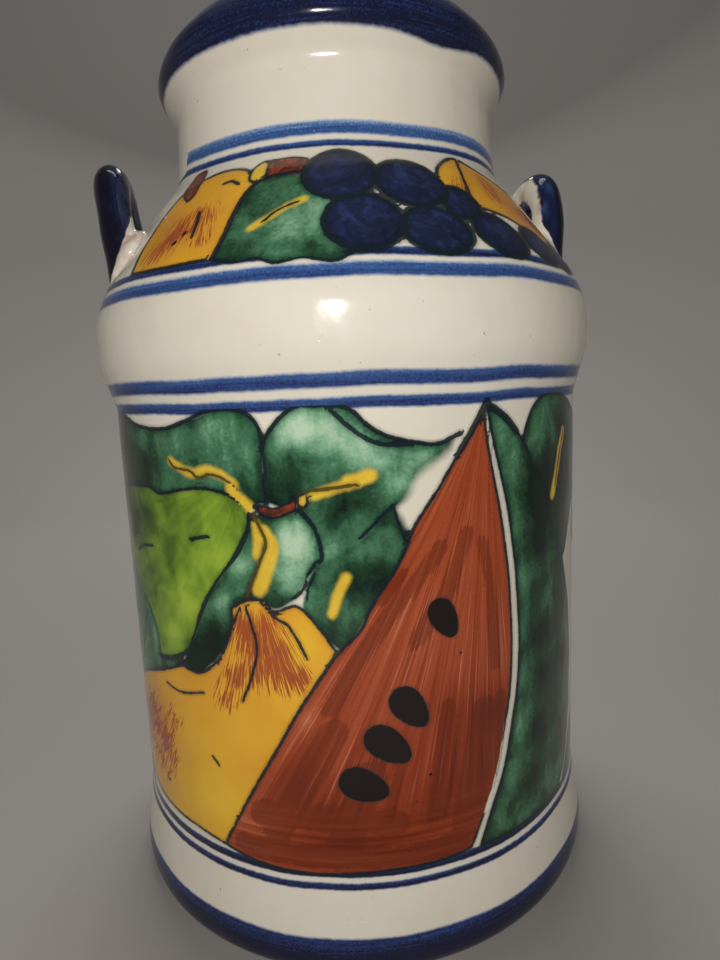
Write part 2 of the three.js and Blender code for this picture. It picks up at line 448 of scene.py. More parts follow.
def body_middle_leaves(c):
    c.shape("leaf", (-29, 145.5), (-29, 145.5), (-27.2, 138), (-28, 130.5), (-30.3, 121),
            (-30.3, 121), (-34.6, 117.4), (-35, 110.2), (-37.2, 104), (-44.3, 94.3), (-49.9, 94.7),
            (-49.9, 94.7), (-46.4, 102.7), (-41.6, 116), (-37.3, 126.3), (-32.3, 134.5), (-30, 141))
    c.shape("leaf", (-25.3, 149.7), (-25.3, 149.7), (-25.3, 158.7), (-25.2, 167.1), (-22.5, 172.5),
            (-19.2, 176.1), (-15.5, 177.3), (-12, 176.7), (-9, 174.1), (-6.9, 170.6), (-3.4, 167.2),
            (1.1, 165.1), (6.4, 164.1), (9.6, 164.9), (9.6, 164.9), (8.8, 162.4), (6.8, 160),
            (4.2, 157.8), (1.6, 154.4), (0.4, 150), (-2, 147), (-4.9, 142), (-8, 137), (-12, 132),
            (-15.8, 130), (-17.5, 135), (-18.6, 145), (-22, 147.6))
    c.stroke((-25.8, 164.5), (-25, 168), (-22.5, 172.6), (-19.2, 176.2), (-15.5, 177.4),
             (-12, 176.7), (-9, 174.1), (-6.9, 170.6), (-3.4, 167.2), (1.1, 165.1), (6.4, 163.9),
             (11.2, 166.4), line=0.6)
    c.stroke((1, 164.4), (-3.2, 164.6), (-6.1, 165.9), (-8.6, 168.4), (-11.2, 172), (-12.9, 174.6),
             line=0.65)
    c.stroke((8.6, 164.9), (11.2, 166.4), line=0.7)
    c.stroke((-2.3, 147.8), (-4.9, 144.3), (-7.2, 140.8), (-8.6, 138.8), line=0.5)
    c.shape("leaf", (-28.6, 146), (-28.6, 146), (-18.9, 146.4), (-18.9, 146.4), (-17.2, 143),
            (-16.2, 138.7), (-15.8, 134.4), (-16.4, 131.8), (-18.8, 127.6), (-21.3, 121.8),
            (-21.3, 121.8), (-24.8, 118.6), (-28.3, 120), (-30.6, 120.9), (-30.6, 120.9),
            (-30, 125.1), (-27.4, 133.6), (-27, 139))
    c.stroke((-19.4, 147), (-17.2, 143), (-16.2, 138.7), (-15.8, 134.4), (-16, 132.2), line=0.65)
    c.stroke((-17, 132.2), (-18.5, 128.7), line=0.55)
    c.stroke((-18.9, 126.4), (-20, 123.6), (-21.6, 121.7), line=0.5)
    c.shape("leaf", (-9.8, 137.2), (-9.8, 137.2), (-5.6, 142.7), (-2.5, 147.4), (-2.5, 147.4),
            (-0.6, 142), (0.6, 136.5), (-2, 129.7), (-7.2, 118.3), (-12.4, 105.5), (-12.4, 105.5),
            (-14.6, 108), (-17, 112), (-19.8, 118.8), (-19.8, 118.8), (-19, 123), (-18.4, 126.5),
            (-16.4, 132), (-13, 135))
    c.stroke((-2.4, 147.8), (-1.6, 142.6), (-0.4, 137.4), line=0.4)
    c.stroke((-0.6, 139.4), (1.2, 139.9), line=0.4)
    c.stroke((-19, 121.5), (-18.6, 124.6), (-17.4, 128.6), line=0.35)
    c.brushed("vein", (-28, 143.5), (-28, 138.5), (-28.4, 134), half=1.3)
    c.brushed("vein", (-26.8, 141), (-25.2, 137), (-26.3, 131.3), (-28.2, 124), half=2.2)
    c.stroke((-28.4, 146.2), (-27.3, 142.3), (-26.3, 137.9), (-27.6, 132.6), (-29.6, 126.6),
             (-30.8, 121.9), line=0.5, tint=1)
    c.brushed("vein", (-16.9, 151.4), (-11.9, 153.6), (-6, 156.3), half=1.4)
    c.brushed("vein", (-10.5, 154.6), (-6.4, 156.2), half=2.0)
    c.stroke((-19, 151.6), (-17.4, 152.7), (-14.1, 153.1), (-8.9, 154), line=0.5, tint=1)
    c.brushed("vein", (-11.5, 127.6), (-13, 123.3), (-14.4, 117), half=1.5)
    c.brushed("vein", (-33, 153.4), (-30.8, 150.6), (-29.2, 148), half=1.5)


def body_stem(c):
    c.shape("stem", (-28.6, 148.6), (-28.6, 148.6), (-26.4, 148.6), (-24.2, 147.8), (-21.4, 149.4),
            (-19.5, 151), (-19.5, 151), (-19.2, 148.2), (-21.4, 146.6), (-24, 145.2),
            (-26.6, 145.8), line=0.35)
    c.oval("vein", -18.8, 149.9, 1.5, 2.0)
    c.ring(-18.8, 149.9, 1.5, 2.0, line=0.4)
    c.oval("vein", -28.9, 148.6, 1.0, 1.2)


SQUASH_BY_MELON = ((-16.2, 100), (-21.9, 87), (-27.4, 72.5), (-33.5, 57))  # their shared edge


def body_squash(c):
    c.shape("squash", (-34.6, 117.6), (-34.6, 117.6), (-30.9, 120.4), (-27.6, 120.4),
            (-25.4, 117.4), (-22, 119.3), (-19.9, 118.2), (-16.9, 112.5), (-14, 105.5),
            (-14, 105.5), *SQUASH_BY_MELON, (-41, 37), (-41, 37), (-48.7, 38.3), (-58.8, 38.5),
            (-70, 40), (-79, 49), (-82, 62), (-79, 75), (-70, 83), (-61, 88), (-55.8, 91),
            (-49.8, 94.8), (-49.8, 94.8), (-44.2, 94.3), (-39, 100), (-36, 107), (-35, 112),
            line=0.45, apex=(-29.5, 130))
    c.stroke((-31.4, 118), (-30.3, 112), (-29.6, 106.8), (-30, 102), (-31.6, 95), (-33.6, 88.4),
             line=0.45)
    c.stroke((-28.1, 120), (-25.5, 115.7), (-23.1, 113.6), (-21.3, 109.1), (-19.7, 103.8),
             line=0.45)
    c.stroke((-56.5, 85.8), (-50.8, 85.2), (-43.6, 88), line=0.4)
    c.stroke((-33, 117), (-36, 108), (-39, 99), line=0.3)
    c.stroke((-42.3, 66.6), (-41, 64.8), line=0.5)
    c.oval("seed", -60, 48, 1.1, 0.8)


MELON_TIP = (17.3, 175.5)


def body_melon(c):
    c.shape("leaf", (17.2, 174.3), (17.2, 174.3), (19.6, 172.4), (22.4, 169.6), (27.5, 161),
            (30.2, 153), (33, 144), (39.4, 132), (45.4, 117), (50.4, 98), (52.4, 78), (51.4, 58),
            (47.4, 43), (43, 35), (43, 35), (34, 34.6), (24, 34.4), (14.3, 34.8), (14.3, 34.8),
            (17.3, 46), (20.5, 56.6), (23.2, 72), (25, 86), (25.6, 99.5), (25, 116), (23.8, 131),
            (21.9, 145.8), (19, 162), line=0.5, apex=MELON_TIP)
    c.stroke((17.2, 174.2), (19.6, 172.2), (22.4, 169.3), (25, 165.4), line=1.2)
    c.shape("flesh", (16.4, 172.2), (16.4, 172.2), (10.8, 161), (6.3, 151), (1.6, 141.5),
            (0.3, 136.9), (-2.1, 129.7), (-7.2, 118.3), (-9.4, 111.6), (-13.7, 105.2),
            *SQUASH_BY_MELON, (-40.9, 37), (-40.9, 37), (-31.4, 34.4), (-20.8, 33.8),
            (-11.2, 34.3), (-2, 34.6), (6, 34.7), (12, 35.6), (12, 35.6),
            (15.4, 46.7), (18.4, 57.6), (21, 72.9), (22.8, 86.9), (23.2, 100.4), (22.7, 116.8),
            (21.5, 131.7), (19.7, 146.2), (17.6, 160.2), line=0.5, apex=MELON_TIP)
    c.stroke(MELON_TIP, (14.6, 168.8), (10.8, 161), line=1.0)
    for half, points in SECOND_COAT:
        c.brushed("coat", *points, half=half)
    seeds = ((7.0, 112.6, -62, 6.6, 3.9), (-0.4, 86.6, -52, 7.5, 4.5),
             (-4.9, 75.5, -40, 8.1, 4.7), (-9.9, 63.2, -24, 7.8, 4.9))
    for angle, height, tilt, along, across in seeds:
        c.oval("seed", angle, height, along, across, tilt=tilt, line=0.3, point=0.25)
    for angle, height in ((10.4, 100.9), (3.3, 64.3), (0.3, 56)):
        c.oval("seed", angle, height, 0.6, 0.6)


SECOND_COAT = (  # half width in mm, and the way the brush went
    (2.5, [(6.4, 134), (-1.2, 120), (-10.6, 101.9), (-16, 88)]),
    (2.7, [(12.2, 137), (7.7, 120.8), (1.2, 107)]),
    (2.0, [(15.8, 134), (17.6, 116), (18.6, 94)]),
    (1.5, [(-1, 128), (-5.4, 119.8)]),
    (3.2, [(7.3, 84), (6.3, 68.6), (4.2, 51)]),
    (5.2, [(15.4, 80), (13.4, 65), (10.9, 44)]),
    (2.6, [(20, 83), (18.6, 66), (15, 48)]),
    (4.6, [(-15.2, 80), (-20.9, 65), (-28, 47)]),
    (5.5, [(-8.6, 66), (-12, 51.6), (-15, 42)]),
    (4.5, [(-31, 52), (-18, 53), (-4, 50)]),
    (3.6, [(-36, 40), (-16, 39.5), (10, 39)]),
)


def body_tones(c):
    """Where the washes are strong (above 0) and where the white glaze shines through. Some darker
    spots near the body's left and right edges add painted shade, where the wall turns from the
    light.
    """
    c.tone(
        "wash_and_shade",
        # the leaf above the lime, darkest at the far left: its own wash, deepened there by painted
        # shade
        (-72, 160, 14, 0.9), (-58, 160, 9, 0.6), (-57, 168, 6, -0.2), (-35, 172, 6, -0.5),
        (-29, 166, 5, -0.2), (-28, 152, 5, 0.6), (-37, 164, 5, 0.2), (-36, 152, 5, 0.3),
        # the large leaf that reaches to the slice
        (-21, 170, 6, -0.7), (-16, 172, 7, -0.8), (-10, 166, 6, -0.6), (-6, 161, 6, -0.7),
        (-20, 160, 6, 0.3), (-22, 151, 6, 0.6), (1, 160, 5, -0.3), (5, 161, 4, -0.7),
        (-12, 148, 7, 0.6), (-6, 148, 6, 0.2), (0, 153, 4, -0.8), (-9, 153, 4, 0.1),
        # the two leaves above the squash
        (-20.5, 138, 6, -1.0), (-22, 128, 5, -0.7), (-19, 124, 3, -0.5), (-25, 121, 4, 0.5),
        (-8, 127, 8, 0.9), (-4, 138, 5, 0.1), (-9, 136, 4, -0.3), (-15, 110, 6, 0.6),
        (-17, 123, 4, 0.3), (-4, 128, 4, 0.4),
        # the leaf between the lime and the squash
        (-32, 131, 4, -0.5), (-29, 140, 4, 0.1), (-36, 120, 4, -0.3), (-39, 107, 7, 1.1),
        (-45, 99, 7, 1.2), (-33, 119, 4, 0.5),
        # the leaf behind the rind
        (35, 167, 5, 0.1), (50, 152, 14, 0.9), (34, 142, 8, 1.0), (44, 168, 8, 0.9),
        (36, 154, 7, 0.5),
    )
    # The rind: its wash is pale at the left edge and dark in the middle. The spots at 43 degrees add     painted shade on its right side, where the wall turns away from the light.
    for height, strength in ((150, 0.1), (134, -0.2), (118, -0.35), (102, -0.2), (86, -0.3),
                             (70, -0.35), (54, -0.2)):
        pale_edge = 26.5 - abs(height - 100) * 0.03
        dark_middle = 34 - abs(height - 95) * 0.06
        c.tone("wash_and_shade", (pale_edge, height, 4, strength), (dark_middle, height - 4, 7, 0.9),
               (43, height, 8, 0.7))
    c.tone(
        "wash_and_shade",
        # the tip of the rind
        (22, 163, 5, 0.2),
        # the lime, darker at its left: its own wash, deepened there by painted shade
        (-67, 140, 10, 1.2), (-58, 143, 6, 0.8), (-60, 119, 6, 0.4), (-50, 133, 5, 0.4),
        (-38, 133, 7, -0.6), (-46, 116, 6, -0.8), (-51, 104, 5, -0.8), (-36, 146, 5, -0.1),
        (-48, 149, 5, 0.3),
        # the slice
        (-15, 44, 17, 0.8), (3, 48, 17, 0.8), (12, 66, 12, 0.6), (18, 80, 8, 0.8),
        (-22, 62, 10, 0.6), (-6, 70, 10, 0.5), (4, 112, 9, -0.2), (10, 130, 9, -0.2),
        (9, 96, 7, -0.2), (-20, 84, 4, -0.5), (14, 150, 8, 0.1), (8, 84, 12, 0.5),
        # the squash
        (-45, 52, 14, -0.5), (-20, 108, 6, -0.5), (-64, 64, 13, 0.8),
    )
    c.tone(
        "scribble",
        # below the stalk of the squash
        (-31, 108, 6, 1.0), (-28, 98, 6, 0.9), (-25, 106, 6, 0.9), (-33, 114, 4, 0.7),
        (-35, 96, 5, 0.8), (-22, 97, 5, 0.8), (-38, 88, 5, 0.6), (-27, 114, 4, 0.5),
        # the cheek of the squash
        (-67, 70, 8, 0.9), (-60, 63, 6, 0.8), (-72, 60, 8, 0.7), (-55, 74, 5, 0.6),
        (-64, 52, 6, 0.7), (-57, 56, 5, 0.5),
        # the pear
        (77, 108, 7, 0.7), (66, 80, 7, 0.8),
    )


def body_bleeding(c):
    """Where the green ran into the white."""
    c.tone("blur", (8, 161, 4, 0.7), (4, 157, 4, 0.7), (1, 151, 4, 0.6), (-14, 178, 6, 0.25),
           (-40, 175, 6, 0.25), (34, 177, 6, 0.4), (-1, 143, 4, 0.4))


def paint_body(canvas):
    for motif in (body_leaves_behind, body_pear, body_lime, body_middle_leaves, body_stem,
                  body_squash, body_melon, body_tones, body_bleeding):
        motif(canvas)


# ---- the fruit and grapes on the shoulder ----
def shoulder_fruit(c):
    c.shape("squash", (-56, 216.8), (-56, 216.8), (-59, 226), (-59, 236), (-55, 243), (-46, 246.3),
            (-38, 246.6), (-32, 244.4), (-29.6, 240), (-31.6, 234.4), (-32.2, 225.6),
            (-33.2, 216.6), (-33.2, 216.6), (-44, 216.2), line=0.6, apex=(-46, 258))
    c.stroke((-38.8, 241.8), (-36.4, 242), (-34.2, 240.6), line=0.55)
    c.stroke((-42.6, 233), (-41.6, 229.4), (-41, 225), line=0.6)
    c.oval("seed", -43.9, 226.6, 0.8, 1.4)
    c.oval("seed", -45.6, 224, 1.0, 1.1)
    c.shape("stem", (-56, 249.6), (-56, 249.6), (-50.4, 249.4), (-48.4, 241), (-50, 238.6),
            (-50, 238.6), (-55, 243), line=0.35)
    c.shape("squash", (15.4, 238.4), (16.4, 243.4), (21.4, 247.8), (27.5, 249.6), (36, 246.2),
            (47, 240.5), (57, 234), (62, 226), (60, 219), (50, 217), (40, 224), (33, 229),
            (26, 231), (19, 232.6), line=0.6, apex=(30, 262))
    c.stroke((27.2, 249.2), (24.4, 243), (22.4, 234), line=0.65)
    c.shape("stem", (-29, 246.9), (-25.6, 247.5), (-19.5, 247.4), (-15, 245), (-15.5, 240),
            (-22, 240.4), (-27.6, 240.6), line=0.35)
    c.shape("vein", (-31.2, 241), (-31.4, 244.8), (-29.4, 247.2), (-27.4, 246.4), (-27.6, 240.6),
            line=0.45)


def shoulder_leaf(c):
    c.shape("leaf", (-33.4, 216.2), (-33.4, 216.2), (-32.6, 224), (-32.2, 231.5), (-30.7, 237.6),
            (-27.4, 240.8), (-21, 242), (-14, 241), (-7, 236), (-5, 226), (-5.5, 217), (-8, 215.2),
            (-11, 213.2), (-16.3, 214.6), (-21, 213.6), (-24.5, 215.4), (-28.3, 214.8), line=0.45)
    c.stroke((-33.2, 217), (-32.5, 224), (-32.1, 231.5), (-30.6, 237.6), (-27.2, 240.9), (-20, 242),
             line=0.8)
    c.brushed("vein", (-27, 224.6), (-24, 227.4), (-20.6, 230.4), (-17, 232.6), half=1.2)
    c.stroke((-24.8, 226.4), (-22.4, 229.4), (-18.4, 231.8), line=0.4)
    c.shape("leaf", (44, 217), (50, 226), (58, 228), (63, 222), (60, 216.6), (50, 215.2), line=0.6)


GRAPES = (  # degrees around, mm up, half sizes in mm, tilt
    (38, 221.4, 8.2, 7.2, -30), (18, 232, 7, 7.2, -35), (7.2, 237.6, 11.6, 10, -14),
    (24.6, 222.6, 9.4, 8.4, -38), (9, 222.6, 10.2, 9.2, -4), (-5, 225, 10.4, 11.2, 0),
    (-9.1, 240.8, 11.6, 10.8, -2), (46, 219, 6.8, 5.8, -20),
)


def shoulder_grapes(c):
    for angle, height, across, along, tilt in GRAPES:
        c.oval("grape", angle, height, across, along, tilt=tilt, line=0.8)
        c.tone("wash_and_shade", (angle - 2, height + 2, 4.5, -0.4), (angle + 3, height - 3, 4, 0.3))


def neck_lines(c):
    """How the rings on the neck wander, and where the brush was set down."""
    c.tone("sag", (24, 283, 15, 2.2), (-70, 257, 18, -1.7), (44, 258, 20, -0.8))
    c.shape("bare", (-65.4, 254.2), (-65.4, 254.2), (-66.8, 255.3), (-67.5, 257), (-66.8, 258.9),
            (-65.4, 260.2), (-65.4, 260.2), (-80, 260.6), (-80, 253.8))


def shoulder_tones(c):
    c.tone("wash_and_shade", (-46, 230, 14, 0.7), (30, 242, 12, 0.4), (44, 234, 12, 0.6))
    c.tone("wash_and_shade", (-28, 234, 5, 0.3), (-20, 224, 6, -0.4), (-14, 228, 5, -0.3), (-28, 219, 4, 0.6),
           (-14, 217, 4, 0.5), (-10, 233, 4, -0.5), (-45, 238, 8, -0.3))
    c.tone("scribble", (-46, 228, 6, 0.9), (-40, 232, 5, 0.7), (-50, 222, 6, 0.7),
           (-38, 224, 4, 0.5), (33, 240, 6, 0.7), (22, 239, 4, 0.7), (45, 232, 7, 0.6))


def shoulder_handle_rings(c):
    """The thin line painted around the feet of a handle."""
    c.ring(90, 223.6, 34, 17.2, line=0.45)


def paint_shoulder(canvas):
    for motif in (shoulder_fruit, shoulder_leaf, shoulder_grapes, shoulder_handle_rings,
                  neck_lines, shoulder_tones):
        motif(canvas)


def store(piece, name, values):
    attribute = piece.data.attributes.new(name, "FLOAT", "POINT")
    attribute.data.foreach_set("value", values.astype(np.float32))


def decorate(piece, angle, height, radius, low, high, wall_radius, profile, painter):
    """Paints the wall between two heights and stores the fields on the piece."""
    outside = radius > np.interp(height, profile[:, 1], profile[:, 0]) - WALL / 2
    on_wall = np.flatnonzero(outside & (height > low) & (height < high))
    canvas = Canvas(angle[on_wall], height[on_wall], wall_radius, profile)
    painter(canvas)
    for name, values in canvas.fields.items():
        whole = np.full(len(angle), FAR if name in DISTANCES else 0.0)
        whole[on_wall] = values
        store(piece, name, whole)
    standing = height < 0.5  # the face of the foot
    store(piece, "inside", np.where(outside | standing, 0.0, 1.0))


# ---- materials, with colours given as 0 to 255 screen values ----
def linear(colour):
    """A colour as the linear one a shader takes."""
    parts = [c / 255 for c in colour]
    return (*(c / 12.92 if c <= 0.04045 else ((c + 0.055) / 1.055) ** 2.4 for c in parts), 1.0)


class Graph:
    """Short names for the nodes of one material."""

    def __init__(self, name):
        self.material = bpy.data.materials.new(name)
        self.material.use_nodes = True
        self.tree = self.material.node_tree
        self.shader = self.tree.nodes["Principled BSDF"]

    def node(self, kind, **settings):
        node = self.tree.nodes.new(kind)
        for key, value in settings.items():
            setattr(node, key, value)
        return node

    def feed(self, socket, value):
        if isinstance(value, bpy.types.NodeSocket):
            self.tree.links.new(value, socket)
        else:
            socket.default_value = linear(value) if isinstance(value, tuple) else value

    def math(self, operation, a, b=0.0, clamp=False):
        node = self.node("ShaderNodeMath", operation=operation, use_clamp=clamp)
        self.feed(node.inputs[0], a)
        self.feed(node.inputs[1], b)
        return node.outputs[0]

    def add(self, *values):
        return reduce(partial(self.math, "ADD"), values)

    def times(self, *values):
        return reduce(partial(self.math, "MULTIPLY"), values)

    def less(self, a, b):
        return self.math("SUBTRACT", a, b)

    def sway(self, noise, amount):
        """Noise from 0 to 1 as a sway about 0, from -amount / 2 to amount / 2."""
        return self.times(self.less(noise, 0.5), amount)

    def step(self, value, low, high):
        """0 below low and 1 above high, or the other way round if low is the greater."""
        node = self.node("ShaderNodeMapRange", interpolation_type="SMOOTHSTEP")
        settings = {"Value": value, "From Min": min(low, high), "From Max": max(low, high),
                    "To Min": float(low > high), "To Max": float(low < high)}
        for name, setting in settings.items():
            self.feed(node.inputs[name], setting)
        return node.outputs["Result"]

    def mix(self, share, a, b):
        node = self.node("ShaderNodeMix", data_type="RGBA")
        self.feed(node.inputs["Factor"], share)
        self.feed(node.inputs[6], a)
        self.feed(node.inputs[7], b)
        return node.outputs[2]

    def attribute(self, name):
        return self.node("ShaderNodeAttribute", attribute_name=name).outputs["Fac"]

    def noise(self, place, size, detail=2.0, roughness=0.5, distortion=0.0):
        """Soft noise from 0 to 1 whose lumps are about size mm across."""
        node = self.node("ShaderNodeTexNoise")
        settings = {"Vector": place, "Scale": 1.0 / size, "Detail": detail,
                    "Roughness": roughness, "Distortion": distortion}
        for name, setting in settings.items():
            self.feed(node.inputs[name], setting)
        return node.outputs["Fac"]

    def strokes(self, across, along, size, *rest):
        """Noise drawn out along brush strokes."""
        node = self.node("ShaderNodeCombineXYZ")
        self.feed(node.inputs[0], across)
        self.feed(node.inputs[1], along)
        return self.noise(node.outputs[0], size, *rest)

    def millimetres(self):
        """The place on the object in mm, as a vector."""
        node = self.node("ShaderNodeVectorMath", operation="SCALE")
        self.feed(node.inputs[0], self.node("ShaderNodeTexCoord").outputs["Object"])
        self.feed(node.inputs["Scale"], 1 / MM)
        return node.outputs[0]

    def stretched(self, place, across, up):
        """A place vector for noise that is drawn out along or across the wall."""
        node = self.node("ShaderNodeVectorMath", operation="MULTIPLY")
        self.feed(node.inputs[0], place)
        node.inputs[1].default_value = (across, across, up)
        return node.outputs[0]

    def height(self, place):
        node = self.node("ShaderNodeSeparateXYZ")
        self.feed(node.inputs[0], place)
        return node.outputs["Z"]

    def ramp(self, value, *stops):
        """Colours from stops of (place, colour)."""
        node = self.node("ShaderNodeValToRGB")
        self.feed(node.inputs[0], value)
        elements = node.color_ramp.elements
        while len(elements) < len(stops):
            elements.new(0.5)
        for element, (place, colour) in zip(elements, stops):
            element.position = place
            element.color = linear(colour)
        return node.outputs["Color"]

    def bump(self, *heights):
        """Bump from heights in mm."""
        node = self.node("ShaderNodeBump")
        self.feed(node.inputs["Distance"], MM)
        self.feed(node.inputs["Height"], self.add(*heights))
        self.feed(self.shader.inputs["Normal"], node.outputs["Normal"])

    def surface(self, colour, roughness, ior=1.5):
        """The finished material."""
        for name, value in {"Base Color": colour, "Roughness": roughness, "IOR": ior}.items():
            self.feed(self.shader.inputs[name], value)
        return self.material


WHITE_GLAZE, CREAM_GLAZE, BLUSH = (232, 227, 213), (220, 210, 190), (206, 176, 160)
SPECK = (120, 96, 70)
BARE_CLAY, BARE_CLAY_DARK = (196, 160, 122), (160, 118, 84)
INK, INK_OLIVE, INK_HALO, SEED = (20, 32, 40), (84, 66, 26), (16, 46, 48), (27, 20, 18)
COBALT_PALE, COBALT, COBALT_DEEP, NAVY = (130, 158, 200), (62, 98, 154), (40, 58, 112), (24, 27, 54)
RUST, RUST_DARK = (186, 82, 48), (142, 56, 36)
FLESH_BARE, FLESH_COAT = (216, 154, 122), (98, 35, 15)
VEIN, VEIN_DARK, STEM, STEM_DARK = (240, 206, 70), (212, 170, 52), (146, 64, 38), (84, 34, 24)
GLAZE_IOR = 1.46

# Painted rings: lowest and highest height in mm, how soft the edges are, and how deep the colour.
RINGS = (
    (1.6, 14.2, 0.6, 1.0), (28.6, 30.8, 0.4, 0.85), (32.4, 35.2, 0.4, 0.9),
    (174.7, 178.1, 0.6, 0.6), (180.6, 184.8, 0.7, 0.58),
    (208.8, 212.9, 0.7, 0.46), (214.4, 216.9, 0.5, 0.72),
    (250.8, 253.1, 0.5, 0.66), (254.8, 258.9, 0.6, 0.3), (283.2, 302.0, 0.7, 0.84),
)


def white_glaze(g, place):
    """Tin glaze: warm white, creamier where it lies thin, with a few dark specks."""
    cloud = g.noise(place, 38, 3, 0.55)
    mottle = g.noise(place, 6, 2, 0.6)
    tone = g.add(g.sway(cloud, 1.1), g.sway(mottle, 0.35), 0.4)
    glaze = g.mix(g.math("MAXIMUM", tone, 0.0, clamp=True), WHITE_GLAZE, CREAM_GLAZE)
    speck = g.step(g.noise(place, 1.5, 0), 0.86, 0.9)
    return g.mix(g.times(speck, 0.55), glaze, SPECK)


def outer_side(g):
    return g.step(g.attribute("inside"), 0.6, 0.4)


def ring_colour(g, place):
    """The mask and the colour of all the painted rings. Only the one on the rim goes inside."""
    wander = g.noise(g.stretched(place, 1.0, 0.2), 34, 1)
    height = g.add(g.height(place), g.attribute("sag"), g.sway(wander, 1.9),
                   g.sway(g.noise(place, 2.2, 2), 0.55))
    outside = outer_side(g)
    bands = []
    depths = []
    for low, high, soft, strength in RINGS:
        rise = g.step(height, low - soft, low + soft)
        if high < HEIGHT:
            rise = g.times(rise, outside)
        bands.append(g.times(rise, g.step(height, high + soft, high - soft)))
        inner = g.step(height, high, low + (high - low) * 0.35)
        depths.append(g.times(bands[-1], g.add(g.times(inner, 0.35), strength - 0.2)))
    streaks = g.noise(g.stretched(place, 0.04, 1.6), 1.0, 2)
    grain = g.noise(place, 0.7, 1, 0.7)
    depth = g.add(*depths, g.sway(streaks, 0.6), g.sway(grain, 0.6))
    colour = g.ramp(depth, (0.0, COBALT_PALE), (0.35, COBALT), (0.75, COBALT_DEEP), (1.0, NAVY))
    mask = g.times(g.add(*bands), g.step(g.attribute("bare"), -0.2, 0.2))
    return g.math("MINIMUM", mask, 1.0), colour


def leaf_colour(g, place, wash_and_shade, edge):
    """Green wash: pale where it is thin, pooled dark beside the lines, grained by the clay."""
    pool = g.step(edge, -3.5, 0.0)
    cloud = g.noise(place, 13, 3, 0.55, 0.6)
    streak = g.noise(g.stretched(place, 1.0, 0.35), 5, 2, 0.6)
    grain = g.noise(place, 1.1, 2, 0.65)
    tone = g.add(0.55, g.times(wash_and_shade, 0.45), g.sway(cloud, 0.8), g.sway(streak, 0.5),
                 g.sway(grain, 0.3), g.times(pool, 0.18))
    return g.ramp(tone, (0.0, (186, 212, 180)), (0.22, (136, 180, 146)), (0.48, (74, 124, 90)),
                  (0.75, (36, 70, 48)), (1.0, (16, 34, 26)))


def lime_colour(g, place, wash_and_shade, fan, reach):
    cloud = g.noise(place, 10, 3, 0.5, 0.5)
    strokes = g.strokes(g.times(fan, 0.35), g.times(reach, 0.05), 1.6, 2)
    tone = g.add(0.38, g.times(wash_and_shade, 0.5), g.sway(cloud, 1.0), g.sway(strokes, 0.3))
    return g.ramp(tone, (0.0, (166, 190, 66)), (0.3, (130, 162, 50)), (0.6, (86, 116, 36)),
                  (1.0, (42, 62, 24)))


def squash_colour(g, place, wash_and_shade, scribble, fan, reach):
    """Yellow wash with dry orange brush scribbles that run from the stalk."""
    tone = g.add(0.5, g.times(wash_and_shade, 0.5), g.sway(g.noise(place, 16, 2), 0.6))
    ground = g.ramp(tone, (0.0, (244, 200, 56)), (0.5, (232, 172, 48)), (1.0, (208, 132, 46)))
    hairs = g.strokes(g.times(fan, 1.1), g.times(reach, 0.1), 1.0, 2, 0.65, 0.9)
    amount = g.add(g.times(scribble, 1.1), g.sway(hairs, 4.2), g.sway(g.noise(place, 5, 2), 0.8),
                   -0.45)
    rust = g.mix(g.noise(place, 9, 1), RUST, RUST_DARK)
    rubbed = g.times(g.step(amount, 0.0, 0.35), g.step(scribble, 0.08, 0.3), 0.92)
    return g.mix(rubbed, ground, rust)


def flesh_colour(g, place, wash_and_shade, fan, reach):
    """Terracotta red brushed from the tip of the slice down, and across its foot."""
    broad = g.strokes(g.times(fan, 0.55), g.times(reach, 0.012), 1.0, 2, 0.55)
    fine = g.strokes(g.times(fan, 2.6), g.times(reach, 0.02), 1.0, 2, 0.6)
    across = g.noise(g.stretched(place, 0.05, 1.0), 2.2, 2, 0.6)
    foot = g.step(g.height(place), 60, 46)
    streak = g.mix(foot, g.add(g.times(broad, 0.6), g.times(fine, 0.4)), across)
    grain = g.noise(place, 0.8, 1, 0.7)
    tone = g.add(0.52, g.sway(streak, 1.4), g.times(wash_and_shade, -0.38), g.sway(grain, 0.2))
    paint = g.ramp(tone, (0.0, (108, 37, 15)), (0.35, (144, 58, 28)), (0.6, (168, 77, 44)),
                   (0.85, (190, 104, 70)), (1.0, (212, 146, 112)))
    bare_streak = g.times(g.step(fine, 0.6, 0.72), g.step(g.height(place), 52, 70), 0.4)
    dry = g.add(g.attribute("coat"), g.sway(broad, 3.6), g.sway(fine, 2.4), g.sway(grain, 0.8))
    second_coat = g.times(g.step(dry, 0.5, -0.5), 0.5)
    return g.mix(second_coat, g.mix(bare_streak, paint, FLESH_BARE), FLESH_COAT)


def grape_colour(g, place, wash_and_shade, edge):
    swirl = g.noise(place, 5.5, 3, 0.6, 1.4)
    rim = g.step(edge, -2.6, -0.6)
    tone = g.add(0.42, g.sway(swirl, 1.3), g.times(wash_and_shade, -0.32), g.times(rim, -0.3))
    return g.ramp(tone, (0.0, (14, 18, 38)), (0.45, (28, 36, 68)), (0.8, (48, 62, 108)),
                  (1.0, (84, 104, 156)))


def vein_colour(g, place):
    return g.mix(g.noise(place, 4, 2), VEIN, VEIN_DARK)


def stem_colour(g, place):
    return g.mix(g.step(g.noise(place, 2.6, 2), 0.35, 0.65), STEM, STEM_DARK)


